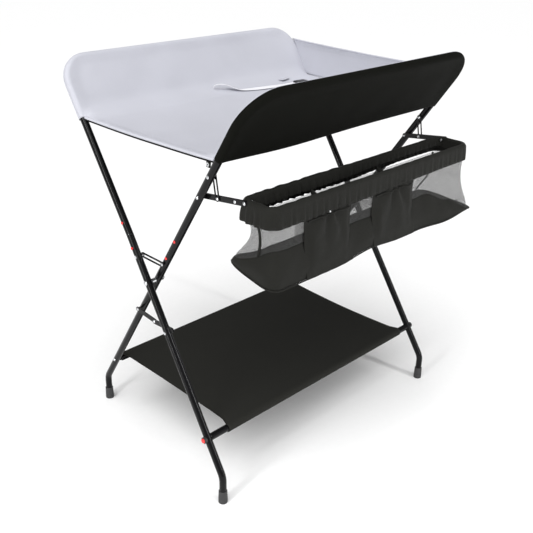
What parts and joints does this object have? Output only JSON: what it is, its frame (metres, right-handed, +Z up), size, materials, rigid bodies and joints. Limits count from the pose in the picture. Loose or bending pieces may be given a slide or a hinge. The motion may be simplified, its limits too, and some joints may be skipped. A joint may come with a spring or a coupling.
{
  "type": "folding changing table",
  "caption": "Folding baby changing table: crossed tube frames carry a fabric sling top with raised sides, a cloth shelf and a hanging fabric basket on swinging arms.",
  "frame": {"origin": "on the floor, below the middle of the whole open table's footprint", "axes": "+X along the table towards the raised end panel, -Y towards the front with the basket, +Z up"},
  "size_m": [0.8444, 0.7543, 1.0167],
  "materials": {
    "black_tube": "satin black powder coat on steel tube and plate",
    "zinc_steel": "bright zinc plated steel",
    "red_plastic": "moulded red plastic",
    "black_plastic": "moulded black plastic, fine grain",
    "black_rubber": "moulded rubber foot cap",
    "pale_fabric": "pale wipe-clean woven cloth, stitched",
    "black_fabric": "black woven polyester cloth",
    "black_mesh": "open black mesh netting",
    "white_webbing": "flat woven white webbing"
  },
  "bodies": {
    "outer_frame": {"outer_rail_frame": "black_tube", "outer_leg_left": "black_tube", "outer_leg_right": "black_tube", "outer_joint_sleeves": "zinc_steel", "outer_leaf_springs": "zinc_steel", "outer_foot_caps": "black_rubber", "outer_frame_fasteners": "zinc_steel", "outer_frame_bushes": "black_plastic", "pivot_bolts": "zinc_steel", "pivot_spacers": "zinc_steel", "pivot_nuts": "zinc_steel", "shelf_tube_front": "black_tube", "shelf_plugs_front": "black_plastic", "shelf_button_collars": "black_plastic", "shelf_cloth": "black_fabric", "outer_wing_cover": "pale_fabric", "bed_cloth": "pale_fabric", "end_panel": "pale_fabric", "belt_rear": "white_webbing", "buckle_socket": "black_plastic"},
    "inner_frame": {"inner_rail_frame": "black_tube", "inner_leg_left": "black_tube", "inner_leg_right": "black_tube", "inner_joint_sleeves": "zinc_steel", "inner_leaf_springs": "zinc_steel", "inner_foot_caps": "black_rubber", "inner_frame_fasteners": "zinc_steel", "inner_frame_bushes": "black_plastic", "shelf_tube_rear": "black_tube", "shelf_plugs_rear": "black_plastic", "inner_wing_cover": "pale_fabric", "belt_front": "white_webbing", "buckle_tongue": "black_plastic", "corner_tab": "black_fabric", "press_stud": "zinc_steel"},
    "slotted_links": {"slotted_links": "black_tube"},
    "brace_front": {"brace_front_bars": "black_tube", "brace_front_rivets": "zinc_steel"},
    "brace_rear": {"brace_rear_bars": "black_tube", "brace_rear_rivets": "zinc_steel"},
    "basket": {"basket_arms": "black_tube", "basket_arm_pins": "zinc_steel", "basket_hoop": "black_tube", "basket_band": "black_fabric", "basket_mesh_wall": "black_mesh", "basket_bottom": "black_fabric", "basket_pocket_left": "black_fabric", "basket_pocket_right": "black_fabric", "basket_dividers": "black_fabric"},
    "basket_stays": {"basket_stays": "black_tube"},
    "outer_snap_left_lower": {"outer_snap_left_lower": "red_plastic"},
    "outer_snap_left_upper": {"outer_snap_left_upper": "red_plastic"},
    "outer_snap_right_lower": {"outer_snap_right_lower": "red_plastic"},
    "outer_snap_right_upper": {"outer_snap_right_upper": "red_plastic"},
    "inner_snap_left_lower": {"inner_snap_left_lower": "red_plastic"},
    "inner_snap_left_upper": {"inner_snap_left_upper": "red_plastic"},
    "inner_snap_right_lower": {"inner_snap_right_lower": "red_plastic"},
    "inner_snap_right_upper": {"inner_snap_right_upper": "red_plastic"},
    "shelf_button_left": {"shelf_button_left": "red_plastic"},
    "shelf_button_right": {"shelf_button_right": "red_plastic"}
  },
  "joints": [
    {"name": "fold", "type": "hinge", "parent": "outer_frame", "child": "inner_frame", "pos_m": [0, 0.0456, 0.498], "axis": [1, 0, 0], "range_deg": [-59, 0], "deforming": ["bed_cloth", "end_panel", "shelf_cloth", "belt_rear", "belt_front", "buckle_socket", "buckle_tongue"]},
    {"name": "link_swing", "type": "hinge", "parent": "inner_frame", "child": "slotted_links", "pos_m": [0, 0.00797, 0.55464], "axis": [1, 0, 0], "range_deg": [0, 29.6]},
    {"name": "brace_front_fold", "type": "hinge", "parent": "outer_frame", "child": "brace_front", "pos_m": [0, -0.02634, 0.38972], "axis": [1, 0, 0], "range_deg": [0, 57.2]},
    {"name": "brace_rear_fold", "type": "hinge", "parent": "inner_frame", "child": "brace_rear", "pos_m": [0, 0.11754, 0.38972], "axis": [1, 0, 0], "range_deg": [-57.2, 0]},
    {"name": "basket_fold", "type": "hinge", "parent": "inner_frame", "child": "basket", "pos_m": [0, -0.13038, 0.76287], "axis": [1, 0, 0], "range_deg": [-23, 0]},
    {"name": "stay_swing", "type": "hinge", "parent": "inner_frame", "child": "basket_stays", "pos_m": [0, -0.16801, 0.81951], "axis": [1, 0, 0], "range_deg": [0, 4]},
    {"name": "outer_snap_left_lower_press", "type": "slide", "parent": "outer_frame", "child": "outer_snap_left_lower", "axis": [1, 0, 0], "range_m": [0, 0.0022], "stiffness_N_per_m": 200, "springref_m": -0.001},
    {"name": "outer_snap_left_upper_press", "type": "slide", "parent": "outer_frame", "child": "outer_snap_left_upper", "axis": [1, 0, 0], "range_m": [0, 0.0022], "stiffness_N_per_m": 200, "springref_m": -0.001},
    {"name": "outer_snap_right_lower_press", "type": "slide", "parent": "outer_frame", "child": "outer_snap_right_lower", "axis": [-1, 0, 0], "range_m": [0, 0.0022], "stiffness_N_per_m": 200, "springref_m": -0.001},
    {"name": "outer_snap_right_upper_press", "type": "slide", "parent": "outer_frame", "child": "outer_snap_right_upper", "axis": [-1, 0, 0], "range_m": [0, 0.0022], "stiffness_N_per_m": 200, "springref_m": -0.001},
    {"name": "inner_snap_left_lower_press", "type": "slide", "parent": "inner_frame", "child": "inner_snap_left_lower", "axis": [1, 0, 0], "range_m": [0, 0.0022], "stiffness_N_per_m": 200, "springref_m": -0.001},
    {"name": "inner_snap_left_upper_press", "type": "slide", "parent": "inner_frame", "child": "inner_snap_left_upper", "axis": [1, 0, 0], "range_m": [0, 0.0022], "stiffness_N_per_m": 200, "springref_m": -0.001},
    {"name": "inner_snap_right_lower_press", "type": "slide", "parent": "inner_frame", "child": "inner_snap_right_lower", "axis": [-1, 0, 0], "range_m": [0, 0.0022], "stiffness_N_per_m": 200, "springref_m": -0.001},
    {"name": "inner_snap_right_upper_press", "type": "slide", "parent": "inner_frame", "child": "inner_snap_right_upper", "axis": [-1, 0, 0], "range_m": [0, 0.0022], "stiffness_N_per_m": 200, "springref_m": -0.001},
    {"name": "shelf_button_left_press", "type": "slide", "parent": "outer_frame", "child": "shelf_button_left", "axis": [1, 0, 0], "range_m": [0, 0.002], "stiffness_N_per_m": 300, "springref_m": -0.001},
    {"name": "shelf_button_right_press", "type": "slide", "parent": "outer_frame", "child": "shelf_button_right", "axis": [-1, 0, 0], "range_m": [0, 0.002], "stiffness_N_per_m": 300, "springref_m": -0.001}
  ],
  "couplings": [
    {"joint": "link_swing", "follows": "fold", "ratio": -0.5},
    {"joint": "brace_front_fold", "follows": "fold", "ratio": -0.9673},
    {"joint": "brace_rear_fold", "follows": "fold", "ratio": 0.9673},
    {"joint": "stay_swing", "follows": "basket_fold", "ratio": -0.17}
  ]
}
